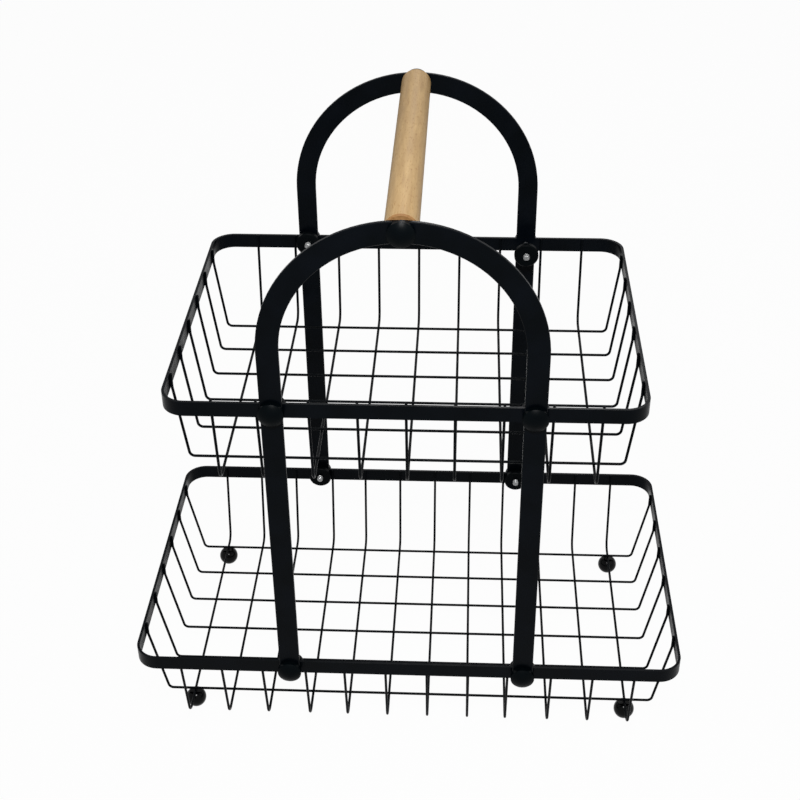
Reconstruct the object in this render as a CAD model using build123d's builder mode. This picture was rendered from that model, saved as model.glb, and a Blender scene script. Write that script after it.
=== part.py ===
"""A two-tier wire basket with a bent flat-bar stand and a wooden carrying handle.

X runs left to right, Y front to back and Z up. The origin is on the table, under the middle of the rims.
"""
import os
from math import atan2, copysign, cos, sin, tan
from build123d import *

# Rims: an upright flat band round each basket, in millimetres like every size here
band_height = 11.0
band_thickness = 2.0
rim_depth = 244.0
rim_corner_radius = 17.0
upper_rim_width = 326.0
lower_rim_width = 412.0
upper_rim_top = 319.0
lower_rim_top = 86.0

# Wires: one row runs left to right, the other runs front to back under it and bends more gently. Each
# is drawn with eight flats and with its floor bends as a few small corners. That keeps many wires
# light, and they lie face to face on the rim and on each other where they are welded
wire_diameter = 2.0
wire_flats = 8
long_bend_radius = 4.0
long_bend_corners = 2
cross_bend_radius = 8.5
cross_bend_corners = 3
wire_end_above_rim = 0.4
basket_drop = 69.7
upper_slope_run = 7.2
lower_slope_run = 11.2
nut_to_wire_gap = 0.25

# Rows: how many wires, how far the outer ones stay inside the rim's ends, and how far the row is moved
long_count = 6
upper_long_margin = 32.0
upper_long_shift = 2.5
lower_long_margin = 34.0
lower_long_shift = 3.8
upper_cross_count = 9
upper_cross_margin = 33.4
upper_cross_shift = 1.9
lower_cross_count = 12
lower_cross_margin = 34.7
lower_cross_shift = 0.0

# Stand: two arches of flat bar, one outside the front of the rims and one outside the back
bar_width = 15.0
bar_thickness = 3.0
bar_edge_break = 0.5
leg_half_spacing = 87.0
arch_centre_height = 360.0

# Fasteners: a domed knob on a steel screw outside, a round hand nut inside
screw_diameter = 5.0
screw_hole_clearance = 0.2
screw_reach = 8.5
long_screw_reach = 23.5
knob_diameter = 17.5
knob_height = 6.4
knob_skirt = 3.3
knob_socket_depth = 3.0
nut_diameter = 19.0
nut_thickness = 5.0
nut_edge_break = 0.8
nut_thread_clearance = 0.05
nut_seat_gap = 0.05
backed_off_nut_gap = 15.0

# Handle: a round wooden bar between the arches, with a threaded insert in each end
handle_diameter = 22.0
handle_edge_break = 1.0
insert_diameter = 8.0
insert_length = 15.0
handle_screw_reach = 13.0

# Feet: a ball under each corner crossing of the lower basket. Its top is cut flat where it is welded
# to the wire, and it has a small flat to stand on
foot_diameter = 16.0
foot_top_cut = 1.5

# Places that follow from the sizes above
wire_radius = wire_diameter / 2
screw_radius = screw_diameter / 2
flat_turn = 180 / wire_flats
upper_screw_height = upper_rim_top - band_height / 2
lower_screw_height = lower_rim_top - band_height / 2
handle_height = arch_centre_height + leg_half_spacing
rim_face = rim_depth / 2
bar_face = rim_face + bar_thickness
rim_inner_face = rim_face - band_thickness


def evenly(count, length, margin, shift):
    """The places of a row with equal steps between the margins of a rim, moved by shift."""
    step = (length - 2 * margin) / (count - 1)
    return [shift + (i - (count - 1) / 2) * step for i in range(count)]


def clear_of_nuts(places):
    """The same places, with a wire that would meet the nuts on a leg set just beside them."""
    least = nut_diameter / 2 + wire_radius + nut_to_wire_gap
    moved = []
    for place in places:
        leg = copysign(leg_half_spacing, place)
        beside = leg + copysign(least, place - leg)
        moved.append(beside if abs(place - leg) < least else place)
    return moved


upper_long_places = evenly(long_count, rim_depth, upper_long_margin, upper_long_shift)
lower_long_places = evenly(long_count, rim_depth, lower_long_margin, lower_long_shift)
upper_cross_row = evenly(upper_cross_count, upper_rim_width, upper_cross_margin, upper_cross_shift)
lower_cross_row = evenly(lower_cross_count, lower_rim_width, lower_cross_margin, lower_cross_shift)
upper_cross_places = clear_of_nuts(upper_cross_row)
lower_cross_places = clear_of_nuts(lower_cross_row)


def rim(width, top):
    """An upright band with rounded corners, bored for four screws."""
    with BuildPart() as band:
        with BuildSketch(Plane.XY.offset(top - band_height)):
            RectangleRounded(width, rim_depth, rim_corner_radius)
            RectangleRounded(
                width - 2 * band_thickness,
                rim_depth - 2 * band_thickness,
                rim_corner_radius - band_thickness,
                mode=Mode.SUBTRACT,
            )
        extrude(amount=band_height)
        with BuildSketch(Plane.XZ):
            with Locations(
                (-leg_half_spacing, top - band_height / 2),
                (leg_half_spacing, top - band_height / 2),
            ):
                Circle(screw_radius + screw_hole_clearance)
        extrude(amount=rim_depth, both=True, mode=Mode.SUBTRACT)
    return band.part


def wire_row(plane, rim_span, slope_run, bend_radius, bend_corners, rim_top, height, spots):
    """Equal bent wires: down inside the rim, in along the slope, across the floor and up again."""
    at_rim = rim_span / 2 - band_thickness - wire_radius
    slope_rise = rim_top - band_height - height
    turn = atan2(slope_rise, slope_run)
    bend_centre = at_rim - slope_run - bend_radius * tan(turn / 2)
    corner_reach = bend_radius / cos(turn / bend_corners / 2)
    half = []
    for i in range(bend_corners):
        angle = (i + 0.5) * turn / bend_corners
        drop = bend_radius - corner_reach * cos(angle)
        half.append((bend_centre + corner_reach * sin(angle), height + drop))
    half.append((at_rim, rim_top - band_height))
    half.append((at_rim, rim_top + wire_end_above_rim))
    other_half = [(-across, up) for across, up in reversed(half)]
    with BuildPart() as wire:
        with BuildLine(plane) as path:
            Polyline(*other_half, *half)
        with BuildSketch(Plane(origin=path.line @ 0, x_dir=plane.z_dir, z_dir=path.line % 0)):
            RegularPolygon(wire_radius, wire_flats, major_radius=False, rotation=flat_turn)
        sweep(transition=Transition.RIGHT)
    with BuildPart() as row:
        with Locations(*spots):
            add(wire.part)
    return row.part


def long_wire_row(rim_width, rim_top, slope_run, places):
    """The wires that run left to right, on top of the others."""
    height = rim_top - basket_drop + wire_radius
    spots = [(0, y, 0) for y in places]
    bend = (long_bend_radius, long_bend_corners)
    return wire_row(Plane.XZ, rim_width, slope_run, *bend, rim_top, height, spots)


def cross_wire_row(rim_top, slope_run, places):
    """The wires that run front to back, under the others."""
    height = rim_top - basket_drop - wire_radius
    spots = [(x, 0, 0) for x in places]
    bend = (cross_bend_radius, cross_bend_corners)
    return wire_row(Plane.YZ, rim_depth, slope_run, *bend, rim_top, height, spots)


def arch(face):
    """A flat bar bent into an arch, with rounded leg ends and a hole for each screw."""
    inner = leg_half_spacing - bar_width / 2
    outer = leg_half_spacing + bar_width / 2
    with BuildPart() as bar:
        with BuildSketch(face):
            with BuildLine():
                Line((-outer, lower_screw_height), (-outer, arch_centre_height))
                CenterArc((0, arch_centre_height), outer, 180, -180)
                Line((outer, arch_centre_height), (outer, lower_screw_height))
                CenterArc((leg_half_spacing, lower_screw_height), bar_width / 2, 0, -180)
                Line((inner, lower_screw_height), (inner, arch_centre_height))
                CenterArc((0, arch_centre_height), inner, 0, 180)
                Line((-inner, arch_centre_height), (-inner, lower_screw_height))
                CenterArc((-leg_half_spacing, lower_screw_height), bar_width / 2, 0, -180)
            make_face()
        extrude(amount=bar_thickness)
        chamfer(bar.faces().filter_by(Axis.Y).edges(), bar_edge_break)
        with BuildSketch(face):
            with Locations(
                (-leg_half_spacing, lower_screw_height),
                (leg_half_spacing, lower_screw_height),
                (-leg_half_spacing, upper_screw_height),
                (leg_half_spacing, upper_screw_height),
                (0, handle_height),
            ):
                Circle(screw_radius + screw_hole_clearance)
        extrude(amount=bar_thickness, mode=Mode.SUBTRACT)
    return bar.part


def knob(seat):
    """A domed round head with a blind socket for its screw. The seat's normal points out of the bar."""
    profile_plane = Plane(origin=seat.origin, x_dir=seat.x_dir, z_dir=seat.x_dir.cross(seat.z_dir))
    radius = knob_diameter / 2
    with BuildPart() as head:
        with BuildSketch(profile_plane):
            with BuildLine():
                Polyline((0, knob_height), (0, knob_socket_depth), (screw_radius, knob_socket_depth))
                Polyline((screw_radius, knob_socket_depth), (screw_radius, 0), (radius, 0))
                Line((radius, 0), (radius, knob_skirt))
                TangentArc((0, knob_height), (radius, knob_skirt), tangent=(1, 0))
            make_face()
        revolve(axis=Axis(seat.origin, seat.z_dir))
    return head.part


def screw(seat, reach):
    """A plain steel screw from inside its knob through bar and rim, or into the handle."""
    with BuildPart() as shank:
        with BuildSketch(seat.offset(knob_socket_depth)):
            Circle(screw_radius)
        extrude(amount=-(knob_socket_depth + reach))
    return shank.part


def nut(seat):
    """A round hand nut with broken edges. The seat's normal points from the basket's rim inwards."""
    with BuildPart() as disc:
        with BuildSketch(seat):
            Circle(nut_diameter / 2)
        extrude(amount=nut_thickness)
        chamfer(disc.faces().filter_by(GeomType.PLANE).edges(), nut_edge_break)
        with BuildSketch(seat):
            Circle(screw_radius + nut_thread_clearance)
        extrude(amount=nut_thickness, mode=Mode.SUBTRACT)
    return disc.part


def wooden_handle():
    """A round bar from arch to arch with a blind hole for the insert in each end."""
    with BuildPart() as grip:
        with BuildSketch(Plane.XZ.offset(-rim_face)):
            with Locations((0, handle_height)):
                Circle(handle_diameter / 2)
        extrude(amount=rim_depth)
        chamfer(grip.edges().filter_by(GeomType.CIRCLE), handle_edge_break)
        for end in (Plane.XZ.offset(rim_face), Plane.XZ.offset(insert_length - rim_face)):
            with BuildSketch(end):
                with Locations((0, handle_height)):
                    Circle(insert_diameter / 2)
            extrude(amount=-insert_length, mode=Mode.SUBTRACT)
    return grip.part


def insert(mouth):
    """A threaded sleeve that sits in the end of the handle. The mouth's normal points out of the wood."""
    with BuildPart() as sleeve:
        with BuildSketch(mouth):
            Circle(insert_diameter / 2)
            Circle(screw_radius, mode=Mode.SUBTRACT)
        extrude(amount=-insert_length)
    return sleeve.part


def foot(x, y):
    """A ball under a crossing of two wires, cut flat at the wire and where it stands on the table."""
    radius = foot_diameter / 2
    wire_underside = lower_rim_top - basket_drop - wire_diameter
    with BuildPart() as ball:
        with Locations((x, y, wire_underside + foot_top_cut - radius)):
            Sphere(radius)
        split(bisect_by=Plane.XY, keep=Keep.TOP)
        split(bisect_by=Plane.XY.offset(wire_underside), keep=Keep.BOTTOM)
    return ball.part


pieces = {
    "upper_rim": rim(upper_rim_width, upper_rim_top),
    "upper_long_wires": long_wire_row(upper_rim_width, upper_rim_top, upper_slope_run, upper_long_places),
    "upper_cross_wires": cross_wire_row(upper_rim_top, upper_slope_run, upper_cross_places),
    "lower_rim": rim(lower_rim_width, lower_rim_top),
    "lower_long_wires": long_wire_row(lower_rim_width, lower_rim_top, lower_slope_run, lower_long_places),
    "lower_cross_wires": cross_wire_row(lower_rim_top, lower_slope_run, lower_cross_places),
    "front_arch": arch(Plane.XZ.offset(rim_face)),
    "rear_arch": arch(Plane.XZ.offset(-bar_face)),
    "handle": wooden_handle(),
}

sides = {"left": -leg_half_spacing, "right": leg_half_spacing}
levels = {"upper": upper_screw_height, "lower": lower_screw_height}
outward = {"front": -1, "rear": 1}

for end, way in outward.items():
    out = (0, way, 0)
    into = (0, -way, 0)
    for level, height in levels.items():
        for side, x in sides.items():
            place = f"{end}_{level}_{side}"
            backed_off = place == "rear_upper_right"
            reach = long_screw_reach if backed_off else screw_reach
            gap = backed_off_nut_gap if backed_off else nut_seat_gap
            bar_seat = Plane(origin=(x, way * bar_face, height), x_dir=(1, 0, 0), z_dir=out)
            nut_seat = Plane(origin=(x, way * (rim_inner_face - gap), height), x_dir=(1, 0, 0), z_dir=into)
            pieces[f"{place}_knob"] = knob(bar_seat)
            pieces[f"{place}_screw"] = screw(bar_seat, bar_face - rim_inner_face + reach)
            pieces[f"{place}_nut"] = nut(nut_seat)
    handle_seat = Plane(origin=(0, way * bar_face, handle_height), x_dir=(1, 0, 0), z_dir=out)
    pieces[f"{end}_handle_knob"] = knob(handle_seat)
    pieces[f"{end}_handle_screw"] = screw(handle_seat, bar_thickness + handle_screw_reach)
    pieces[f"{end}_handle_insert"] = insert(handle_seat.offset(-bar_thickness))

foot_rows = {"front": lower_long_places[0], "rear": lower_long_places[-1]}
foot_columns = {"left": lower_cross_places[0], "right": lower_cross_places[-1]}
for end, y in foot_rows.items():
    for side, x in foot_columns.items():
        pieces[f"{end}_{side}_foot"] = foot(x, y)

os.makedirs("parts", exist_ok=True)
for name, piece in pieces.items():
    piece.label = name
    export_step(piece, f"parts/{name}.step")
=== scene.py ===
import math

import bmesh
import bpy
from mathutils import Matrix, Vector


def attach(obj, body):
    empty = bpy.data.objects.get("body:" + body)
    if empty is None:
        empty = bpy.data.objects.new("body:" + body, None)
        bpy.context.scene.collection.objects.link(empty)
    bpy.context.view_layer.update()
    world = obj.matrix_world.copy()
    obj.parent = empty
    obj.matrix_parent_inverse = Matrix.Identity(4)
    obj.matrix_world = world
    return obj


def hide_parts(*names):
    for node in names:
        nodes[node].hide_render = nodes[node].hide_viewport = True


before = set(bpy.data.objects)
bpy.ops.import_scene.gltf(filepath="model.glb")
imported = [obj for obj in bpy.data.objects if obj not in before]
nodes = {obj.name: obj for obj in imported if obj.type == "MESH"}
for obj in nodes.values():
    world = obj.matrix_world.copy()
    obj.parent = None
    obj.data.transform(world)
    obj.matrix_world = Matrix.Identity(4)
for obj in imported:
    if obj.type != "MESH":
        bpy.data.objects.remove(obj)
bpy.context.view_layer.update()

MM = 0.001

# Sizes repeated from the CAD source, in millimetres
BAND_HEIGHT = 11.0
BAND_THICKNESS = 2.0
RIM_DEPTH = 244.0
BASKET_DROP = 69.7
WIRE_RADIUS = 1.0
LONG_BEND_RADIUS = 4.0
CROSS_BEND_RADIUS = 8.5
RIM_BEND_RADIUS = 8.5
WIRE_END_ABOVE_RIM = 0.4
LEG_HALF_SPACING = 87.0
LEAST_WIRE_TO_LEG = 10.75
BAR_FACE = 125.0
RIM_INNER_FACE = 120.0
SCREW_RADIUS = 2.5
SCREW_REACH = 8.5
LONG_SCREW_REACH = 23.5
KNOB_SOCKET_DEPTH = 3.0

# The two baskets, also from the CAD source. Each row of wires has its count, the margin from the
# rim's ends to its first and last wire, and how far it is shifted.
BASKETS = {
    "upper": {
        "rim_width": 326.0, "rim_top": 319.0, "slope_run": 7.2,
        "long_row": (6, 32.0, 2.5), "cross_row": (9, 33.4, 1.9),
    },
    "lower": {
        "rim_width": 412.0, "rim_top": 86.0, "slope_run": 11.2,
        "long_row": (6, 34.0, 3.8), "cross_row": (12, 34.7, 0.0),
    },
}

# Details that only the scene has. Lengths are in millimetres.
WIRE_SIDES = 14
ARC_STEP = math.radians(6)
LEAST_ARC_STEPS = 2
WIRE_END_ROUNDING = ((0.0, 0.72), (0.25, 0.94), (0.6, 1.0))  # from the end, share of the radius
THREAD_PITCH = 0.8
THREAD_DEPTH = 0.42
THREAD_GROOVE_POWER = 1.3
THREAD_SIDES = 24
RINGS_PER_PITCH = 6
TIP_BEVEL = 0.7
# Length of the long screw's tip left bright; past it a painted shade darkens the shank
BRIGHT_TIP = 4.5
BRIGHT_TIP_FADE = 1.0


# Shapes


def add_tube(mesh, rings):
    """A closed tube through rings of points in millimetres, with a flat face on each end."""
    loops = [[mesh.verts.new(spot * MM) for spot in ring] for ring in rings]
    sides = len(loops[0])
    for lower, upper in zip(loops, loops[1:]):
        for k in range(sides):
            n = (k + 1) % sides
            mesh.faces.new((lower[k], lower[n], upper[n], upper[k]))
    mesh.faces.new(loops[0])
    mesh.faces.new(loops[-1])


def add_piece(name, node, mesh, material):
    """Makes a smooth piece of the basket that takes the place of a CAD node."""
    bmesh.ops.recalc_face_normals(mesh, faces=mesh.faces)
    data = bpy.data.meshes.new(name)
    mesh.to_mesh(data)
    mesh.free()
    for polygon in data.polygons:
        polygon.use_smooth = True
    data.materials.append(material)
    piece = bpy.data.objects.new(name, data)
    bpy.context.scene.collection.objects.link(piece)
    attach(piece, "basket")
    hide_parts(node)


def evenly(length, count, margin, shift):
    """The places of a row with equal steps between the margins of a rim, moved by shift."""
    step = (length - 2 * margin) / (count - 1)
    return [shift + (i - (count - 1) / 2) * step for i in range(count)]


def clear_of_legs(places):
    """The same places, with a wire that would meet a nut on a leg set just beside it."""
    moved = []
    for place in places:
        leg = math.copysign(LEG_HALF_SPACING, place)
        beside = leg + math.copysign(LEAST_WIRE_TO_LEG, place - leg)
        moved.append(beside if abs(place - leg) < LEAST_WIRE_TO_LEG else place)
    return moved


def wire_path(rim_span, slope_run, floor_bend, rim_top, height):
    """One wire's centre line in its own plane, with its bends as arcs."""
    at_rim = rim_span / 2 - BAND_THICKNESS - WIRE_RADIUS
    at_floor = at_rim - slope_run
    corners = [
        Vector((-at_rim, rim_top + WIRE_END_ABOVE_RIM)),
        Vector((-at_rim, rim_top - BAND_HEIGHT)),
        Vector((-at_floor, height)),
        Vector((at_floor, height)),
        Vector((at_rim, rim_top - BAND_HEIGHT)),
        Vector((at_rim, rim_top + WIRE_END_ABOVE_RIM)),
    ]
    line = [corners[0]]
    bends = (RIM_BEND_RADIUS, floor_bend, floor_bend, RIM_BEND_RADIUS)
    for before, corner, after, bend in zip(corners, corners[1:], corners[2:], bends):
        back = (before - corner).normalized()
        on = (after - corner).normalized()
        half = back.angle(on) / 2
        centre = corner + (back + on).normalized() * (bend / math.sin(half))
        start = corner + back * (bend / math.tan(half)) - centre
        turn = start.angle_signed(corner + on * (bend / math.tan(half)) - centre)
        steps = max(LEAST_ARC_STEPS, math.ceil(abs(turn) / ARC_STEP))
        for i in range(steps + 1):
            line.append(centre + Matrix.Rotation(-turn * i / steps, 2) @ start)
    line.append(corners[-1])
    return line


def wire_stations(path):
    """Points along a wire, each with its heading and its share of the radius."""
    last = len(path) - 1
    headings = [
        (path[min(i + 1, last)] - path[max(i - 1, 0)]).normalized() for i in range(last + 1)
    ]
    first_end = [
        (path[0] + headings[0] * along, headings[0], share) for along, share in WIRE_END_ROUNDING
    ]
    between = [(path[i], headings[i], 1.0) for i in range(1, last)]
    last_end = [
        (path[last] - headings[last] * along, headings[last], share)
        for along, share in reversed(WIRE_END_ROUNDING)
    ]
    return first_end + between + last_end


def wire_row(name, node, along_x, path, places, material):
    """The wires of one row as smooth round bars with softened ends."""
    mesh = bmesh.new()
    stations = wire_stations(path)
    for place in places:
        rings = []
        for point, heading, share in stations:
            side = Vector((-heading.y, heading.x))
            radius = WIRE_RADIUS * share
            ring = []
            for k in range(WIRE_SIDES):
                angle = 2 * math.pi * k / WIRE_SIDES
                across = point + side * (radius * math.cos(angle))
                out = place + radius * math.sin(angle)
                x, y = (across.x, out) if along_x else (out, across.x)
                ring.append(Vector((x, y, across.y)))
            rings.append(ring)
        add_tube(mesh, rings)
    add_piece(name, node, mesh, material)


def threaded_screw(name, node, x, way, z, reach, material):
    """A screw with a rolled thread and a bevelled tip, where the plain one is."""
    start = BAR_FACE + KNOB_SOCKET_DEPTH
    end = RIM_INNER_FACE - reach
    count = math.ceil((start - end) / THREAD_PITCH * RINGS_PER_PITCH)
    rings = []
    for i in range(count + 1):
        at = start + (end - start) * i / count
        bevelled = SCREW_RADIUS - TIP_BEVEL + (at - end)
        ring = []
        for k in range(THREAD_SIDES):
            angle = 2 * math.pi * k / THREAD_SIDES
            phase = (at / THREAD_PITCH + k / THREAD_SIDES) % 1.0
            groove = THREAD_DEPTH * (1 - abs(2 * phase - 1)) ** THREAD_GROOVE_POWER
            radius = min(SCREW_RADIUS - groove, bevelled)
            spot = Vector((x + radius * math.cos(angle), way * at, z + radius * math.sin(angle)))
            ring.append(spot)
        rings.append(ring)
    mesh = bmesh.new()
    add_tube(mesh, rings)
    add_piece(name, node, mesh, material)


# Materials

NOISE_LOW, NOISE_HIGH = 0.3, 0.7  # between these lies most of what a noise texture gives


def empty_tree(owner):
    """The node tree of a material or world, without nodes."""
    owner.use_nodes = True
    owner.node_tree.nodes.clear()
    return owner.node_tree


def add_node(tree, kind, inputs=None, **settings):
    """A new node with its settings and the values of its inputs."""
    node = tree.nodes.new(kind)
    for key, value in settings.items():
        setattr(node, key, value)
    for key, value in (inputs or {}).items():
        node.inputs[key].default_value = value
    return node


def principled_material(name, inputs):
    """A material, its tree and its shader with the values of its inputs."""
    material = bpy.data.materials.new(name)
    tree = empty_tree(material)
    output = add_node(tree, "ShaderNodeOutputMaterial")
    shader = add_node(tree, "ShaderNodeBsdfPrincipled", inputs)
    tree.links.new(shader.outputs["BSDF"], output.inputs["Surface"])
    return material, tree, shader


def noise(tree, scale, detail, stretch=None, roughness=0.5):
    """A noise texture in the object's own coordinates."""
    vector = add_node(tree, "ShaderNodeTexCoord").outputs["Object"]
    if stretch:
        mapping = add_node(tree, "ShaderNodeMapping", {"Scale": stretch})
        tree.links.new(vector, mapping.inputs["Vector"])
        vector = mapping.outputs["Vector"]
    values = {"Scale": scale, "Detail": detail, "Roughness": roughness}
    texture = add_node(tree, "ShaderNodeTexNoise", values)
    tree.links.new(vector, texture.inputs["Vector"])
    return texture.outputs["Fac"]


def drawn_marks(tree):
    """Fine marks along the screws and inserts."""
    return noise(tree, scale=900.0, detail=3.0, stretch=(1.0, 0.2, 1.0))


def along_y(tree, coordinates):
    """The Y part of an object's coordinates or of its normal."""
    vector = add_node(tree, "ShaderNodeTexCoord").outputs[coordinates]
    split = add_node(tree, "ShaderNodeSeparateXYZ")
    tree.links.new(vector, split.inputs["Vector"])
    return split.outputs["Y"]


def ramp(tree, value, stops):
    """Colours along a value, as (position, colour) pairs."""
    node = add_node(tree, "ShaderNodeValToRGB")
    elements = node.color_ramp.elements
    while len(elements) < len(stops):
        elements.new(0.5)
    for element, (position, colour) in zip(elements, stops):
        element.position = position
        element.color = (*colour, 1.0)
    tree.links.new(value, node.inputs["Fac"])
    return node.outputs["Color"]


def mask(tree, value, none_at, full_at):
    """Black up to one value, white from the other one on."""
    return ramp(tree, value, [(none_at, (0.0, 0.0, 0.0)), (full_at, (1.0, 1.0, 1.0))])


def spread(tree, value, from_min, from_max, low, high):
    """A value's range between two limits, spread from low to high."""
    limits = {"From Min": from_min, "From Max": from_max, "To Min": low, "To Max": high}
    node = add_node(tree, "ShaderNodeMapRange", limits)
    tree.links.new(value, node.inputs["Value"])
    return node.outputs["Result"]


def vary_roughness(tree, shader, texture, low, high):
    """Lets a noise texture move the roughness between low and high."""
    roughness = spread(tree, texture, NOISE_LOW, NOISE_HIGH, low, high)
    tree.links.new(roughness, shader.inputs["Roughness"])


def multiplied(tree, colour, tint, amount):
    """A colour multiplied by a tint, as far as amount says."""
    node = add_node(tree, "ShaderNodeMix", data_type="RGBA", blend_type="MULTIPLY")
    tree.links.new(colour, node.inputs["A"])
    node.inputs["B"].default_value = (*tint, 1.0)
    tree.links.new(amount, node.inputs["Factor"])
    return node.outputs["Result"]


def bump(tree, shader, height, strength, distance):
    """Grain in the surface, without a change of its shape."""
    node = add_node(tree, "ShaderNodeBump", {"Strength": strength, "Distance": distance})
    tree.links.new(height, node.inputs["Height"])
    tree.links.new(node.outputs["Normal"], shader.inputs["Normal"])


def coated(name, dark, light, rough, specular, grain_scale, grain_strength):
    """A black coating: faint clouds in colour and gloss, and a fine orange-peel grain."""
    material, tree, shader = principled_material(name, {"Specular IOR Level": specular})
    clouds = noise(tree, scale=45.0, detail=3.0)
    colour = ramp(tree, clouds, [(0.35, dark), (0.68, light)])
    tree.links.new(colour, shader.inputs["Base Color"])
    gloss = noise(tree, scale=160.0, detail=2.0)
    vary_roughness(tree, shader, gloss, low=rough - 0.05, high=rough + 0.06)
    grain = noise(tree, scale=grain_scale, detail=2.0)
    bump(tree, shader, grain, strength=grain_strength, distance=0.0001)
    return material


def wood(name):
    """Pale beech: soft streaks along the bar, short darker flecks, and browner faces at the ends:
    end grain, deepened as painted shade where the handle meets the arches.
    """
    material, tree, shader = principled_material(name, {"Specular IOR Level": 0.16})
    streaks = noise(tree, scale=330.0, detail=4.0, stretch=(1.0, 0.09, 1.0), roughness=0.6)
    colour = ramp(tree, streaks, [
        (0.30, (0.43, 0.268, 0.112)),
        (0.50, (0.51, 0.334, 0.153)),
        (0.72, (0.60, 0.410, 0.200)),
    ])
    flecks = noise(tree, scale=1500.0, detail=1.0, stretch=(1.0, 0.16, 1.0), roughness=0.4)
    fleck_mask = mask(tree, flecks, none_at=0.60, full_at=0.70)
    colour = multiplied(tree, colour, (0.82, 0.74, 0.62), fleck_mask)
    # End faces: darker end grain, made deeper as a painted shade where the handle's ends meet the
    # arches
    facing_end = add_node(tree, "ShaderNodeMath", operation="ABSOLUTE")
    tree.links.new(along_y(tree, "Normal"), facing_end.inputs[0])
    end_grain_and_shade_mask = mask(tree, facing_end.outputs[0], none_at=0.20, full_at=0.70)
    colour = multiplied(tree, colour, (0.54, 0.43, 0.36), end_grain_and_shade_mask)
    tree.links.new(colour, shader.inputs["Base Color"])
    vary_roughness(tree, shader, streaks, low=0.46, high=0.60)
    bump(tree, shader, streaks, strength=0.25, distance=0.0002)
    return material


def metal(name, colour, rough):
    """Plated or turned metal with fine drawn marks."""
    inputs = {"Base Color": (*colour, 1.0), "Metallic": 1.0}
    material, tree, shader = principled_material(name, inputs)
    marks = drawn_marks(tree)
    vary_roughness(tree, shader, marks, low=rough - 0.06, high=rough + 0.1)
    bump(tree, shader, marks, strength=0.15, distance=0.00005)
    return material


def long_screw_zinc(name, bright, dark, bright_until):
    """The long screw: bright zinc at its tip, and a painted shade on its shank where it shows
    between rim and nut.
    """
    material, tree, shader = principled_material(name, {"Metallic": 1.0})
    place = along_y(tree, "Object")
    painted_shade_from = bright_until + BRIGHT_TIP_FADE * MM
    fade = spread(tree, place, bright_until, painted_shade_from, 0.0, 1.0)
    tree.links.new(ramp(tree, fade, [(0.0, bright), (1.0, dark)]), shader.inputs["Base Color"])
    vary_roughness(tree, shader, drawn_marks(tree), low=0.22, high=0.38)
    return material


# Zinc plate, darker than its own colour: painted shade for the dim surroundings that the plating
# reflects
ZINC_DIMMED_AS_PAINTED_SHADE = (0.28, 0.285, 0.285)
# Painted shade on the long screw's shank, where it lies in the shade of rim and nut
SHANK_PAINTED_SHADE = (0.04, 0.042, 0.045)
BRASS = (0.72, 0.55, 0.27)

black_coat = coated(
    "black_coat_satin", dark=(0.0003, 0.0010, 0.0018), light=(0.0010, 0.0020, 0.0036),
    rough=0.30, specular=0.048, grain_scale=1400.0, grain_strength=0.04,
)
wire_coat = coated(
    "wire_coat_satin", dark=(0.0004, 0.0009, 0.0015), light=(0.0010, 0.0018, 0.0028),
    rough=0.34, specular=0.030, grain_scale=900.0, grain_strength=0.01,
)
foot_black = coated(
    "foot_black_gloss", dark=(0.0002, 0.0004, 0.0005), light=(0.0006, 0.0008, 0.0010),
    rough=0.12, specular=0.085, grain_scale=900.0, grain_strength=0.01,
)
knob_black = coated(
    "knob_black_satin", dark=(0.0004, 0.0012, 0.0018), light=(0.0010, 0.0022, 0.0030),
    rough=0.34, specular=0.035, grain_scale=1800.0, grain_strength=0.06,
)
nut_black = coated(
    "nut_black_satin", dark=(0.0006, 0.0012, 0.0016), light=(0.0012, 0.0020, 0.0026),
    rough=0.42, specular=0.03, grain_scale=1800.0, grain_strength=0.06,
)
zinc = metal("screw_zinc_plate", ZINC_DIMMED_AS_PAINTED_SHADE, rough=0.24)
brass = metal("insert_brass_turned", BRASS, rough=0.34)
# The long screw: bright zinc at the tip, painted shade on the shank between rim and nut
long_zinc_painted_shade = long_screw_zinc(
    "screw_zinc_long_painted_shade", ZINC_DIMMED_AS_PAINTED_SHADE, SHANK_PAINTED_SHADE, (RIM_INNER_FACE - LONG_SCREW_REACH + BRIGHT_TIP) * MM
)
beech = wood("handle_beech")

by_ending = {
    "_rim": black_coat, "_arch": black_coat, "_wires": wire_coat, "_foot": foot_black,
    "_knob": knob_black, "_nut": nut_black, "_screw": zinc, "_insert": brass, "handle": beech,
}
for name, node in nodes.items():
    for ending, material in by_ending.items():
        if name.endswith(ending):
            node.data.materials.clear()
            node.data.materials.append(material)
            for polygon in node.data.polygons:
                polygon.material_index = 0

# Wires
for level, basket in BASKETS.items():
    rim_width, rim_top, slope_run = (basket[key] for key in ("rim_width", "rim_top", "slope_run"))
    floor_height = rim_top - BASKET_DROP
    wire_row(
        f"{level}_long_round_wires", f"{level}_long_wires", True,
        wire_path(rim_width, slope_run, LONG_BEND_RADIUS, rim_top, floor_height + WIRE_RADIUS),
        evenly(RIM_DEPTH, *basket["long_row"]), wire_coat,
    )
    wire_row(
        f"{level}_cross_round_wires", f"{level}_cross_wires", False,
        wire_path(RIM_DEPTH, slope_run, CROSS_BEND_RADIUS, rim_top, floor_height - WIRE_RADIUS),
        clear_of_legs(evenly(rim_width, *basket["cross_row"])), wire_coat,
    )

# Threads on the screws
LONG_SCREW_PLACE = "rear_upper_right"
for end, way in (("front", -1), ("rear", 1)):
    for level, basket in BASKETS.items():
        z = basket["rim_top"] - BAND_HEIGHT / 2
        for side, x in (("left", -LEG_HALF_SPACING), ("right", LEG_HALF_SPACING)):
            place = f"{end}_{level}_{side}"
            is_long = place == LONG_SCREW_PLACE
            reach, material = (LONG_SCREW_REACH, long_zinc_painted_shade) if is_long else (SCREW_REACH, zinc)
            threaded_screw(f"{place}_thread", f"{place}_screw", x, way, z, reach, material)

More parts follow.
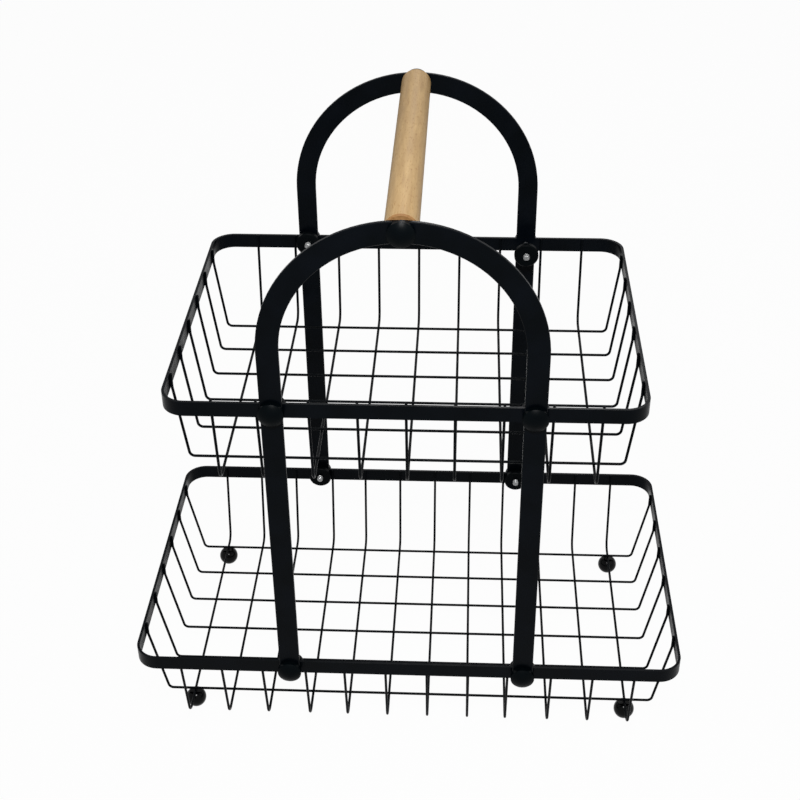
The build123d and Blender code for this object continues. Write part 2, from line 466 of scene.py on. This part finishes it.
# Camera, fitted to edges of the photograph
IMAGE_PIXELS = 800
FOCAL_PIXELS = 1400.639
SENSOR_WIDTH = 36.0
CAMERA_PLACE = (0.039271, -0.882362, 0.832020)
PITCH, YAW, ROLL = (math.radians(v) for v in (33.716, -3.1, -0.69))
FAR_CLIP = 20

forward = Vector(
    (math.sin(YAW) * math.cos(PITCH), math.cos(YAW) * math.cos(PITCH), -math.sin(PITCH))
)
right = Vector((math.cos(YAW), -math.sin(YAW), 0))
up = right.cross(forward)
rolled_right = math.cos(ROLL) * right + math.sin(ROLL) * up
rolled_up = math.cos(ROLL) * up - math.sin(ROLL) * right
turn = Matrix((rolled_right, rolled_up, -forward)).transposed()
camera_data = bpy.data.cameras.new("camera")
camera_data.sensor_width = SENSOR_WIDTH
camera_data.lens = FOCAL_PIXELS / IMAGE_PIXELS * SENSOR_WIDTH
camera_data.clip_end = FAR_CLIP
camera = bpy.data.objects.new("camera", camera_data)
camera.matrix_world = Matrix.Translation(CAMERA_PLACE) @ turn.to_4x4()
bpy.context.scene.collection.objects.link(camera)
bpy.context.scene.camera = camera

# Light, floor and backdrop
SOFT_LIGHT_STRENGTH = 0.07
BACKDROP_STRENGTH = 0.975
FLOOR_REACH = 4.0
FLOOR_GREY = 0.6
FLOOR_GLOW_SHARE = 0.97


def area_light(name, place, aim, size, power):
    """A rectangular lamp that looks from one place at another."""
    data = bpy.data.lights.new(name, "AREA")
    data.shape = "RECTANGLE"
    data.size, data.size_y = size
    data.energy = power
    lamp = bpy.data.objects.new(name, data)
    lamp.location = place
    heading = Vector(aim) - Vector(place)
    lamp.rotation_euler = heading.to_track_quat("-Z", "Y").to_euler()
    bpy.context.scene.collection.objects.link(lamp)


def seen_rays(tree):
    """1 for rays from the camera and those that gloss or glass send, 0 for the rest."""
    path = add_node(tree, "ShaderNodeLightPath")
    seen = path.outputs["Is Camera Ray"]
    for kind in ("Is Glossy Ray", "Is Transmission Ray"):
        either = add_node(tree, "ShaderNodeMath", operation="MAXIMUM")
        tree.links.new(seen, either.inputs[0])
        tree.links.new(path.outputs[kind], either.inputs[1])
        seen = either.outputs[0]
    return seen


def blend_shaders(tree, share, first, second, output):
    """Sends a mix of two shaders to an output, the second one by its share."""
    mix = add_node(tree, "ShaderNodeMixShader")
    for socket, source in zip(mix.inputs, (share, first.outputs[0], second.outputs[0])):
        tree.links.new(source, socket)
    tree.links.new(mix.outputs[0], output.inputs["Surface"])


area_light("key", place=(0.05, -0.85, 1.15), aim=(0, 0, 0.3), size=(0.32, 0.32), power=15.5)
area_light("fill", place=(1.2, -0.7, 1.0), aim=(0, 0, 0.2), size=(0.9, 0.9), power=1.5)
area_light("back", place=(0.1, 1.3, 1.25), aim=(0, 0, 0.3), size=(0.5, 0.2), power=4.0)

world = bpy.data.worlds.new("studio")
bpy.context.scene.world = world
sky = empty_tree(world)
sky_output = add_node(sky, "ShaderNodeOutputWorld")
soft, white = (
    add_node(sky, "ShaderNodeBackground", {"Color": (1, 1, 1, 1), "Strength": strength})
    for strength in (SOFT_LIGHT_STRENGTH, BACKDROP_STRENGTH)
)
blend_shaders(sky, seen_rays(sky), soft, white, sky_output)

floor_mesh = bpy.data.meshes.new("floor")
floor_corners = [
    (-FLOOR_REACH, -FLOOR_REACH, 0), (FLOOR_REACH, -FLOOR_REACH, 0),
    (FLOOR_REACH, FLOOR_REACH, 0), (-FLOOR_REACH, FLOOR_REACH, 0),
]
floor_mesh.from_pydata(floor_corners, [], [(0, 1, 2, 3)])
floor = bpy.data.objects.new("floor", floor_mesh)
bpy.context.scene.collection.objects.link(floor)
paper = bpy.data.materials.new("pale_paper")
tree = empty_tree(paper)
output = add_node(tree, "ShaderNodeOutputMaterial")
matt = add_node(tree, "ShaderNodeBsdfDiffuse", {"Color": (FLOOR_GREY, FLOOR_GREY, FLOOR_GREY, 1)})
glow = add_node(tree, "ShaderNodeEmission", {"Strength": 1.0})
glow_share = add_node(tree, "ShaderNodeMath", {1: FLOOR_GLOW_SHARE}, operation="MULTIPLY")
tree.links.new(seen_rays(tree), glow_share.inputs[0])
blend_shaders(tree, glow_share.outputs[0], matt, glow, output)
floor_mesh.materials.append(paper)

bpy.context.scene.view_settings.view_transform = "Standard"
